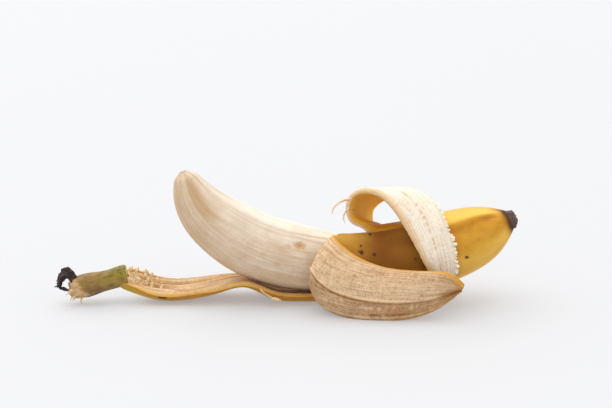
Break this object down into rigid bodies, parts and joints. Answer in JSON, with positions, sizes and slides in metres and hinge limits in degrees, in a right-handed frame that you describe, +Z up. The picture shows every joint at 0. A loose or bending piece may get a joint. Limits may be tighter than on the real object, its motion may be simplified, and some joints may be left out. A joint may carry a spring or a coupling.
{
  "type": "peeled banana",
  "caption": "Half-peeled banana lying down: pale pulp leaves an open sleeve of skin whose strips fold forward, curl over the top and lie underneath with the short stem.",
  "frame": {"origin": "centre of the base of the bounding box, on the table", "axes": "+X along the fruit towards the blossom end, +Z up, the folded front strip towards -Y"},
  "size_m": [0.232, 0.065, 0.0666],
  "materials": {
    "peel": "waxy yellow outside, pale matt fibrous inside",
    "flesh": "soft, moist, slightly translucent"
  },
  "bodies": {
    "root": {"peel": "peel", "flesh": "flesh"}
  },
  "joints": []
}
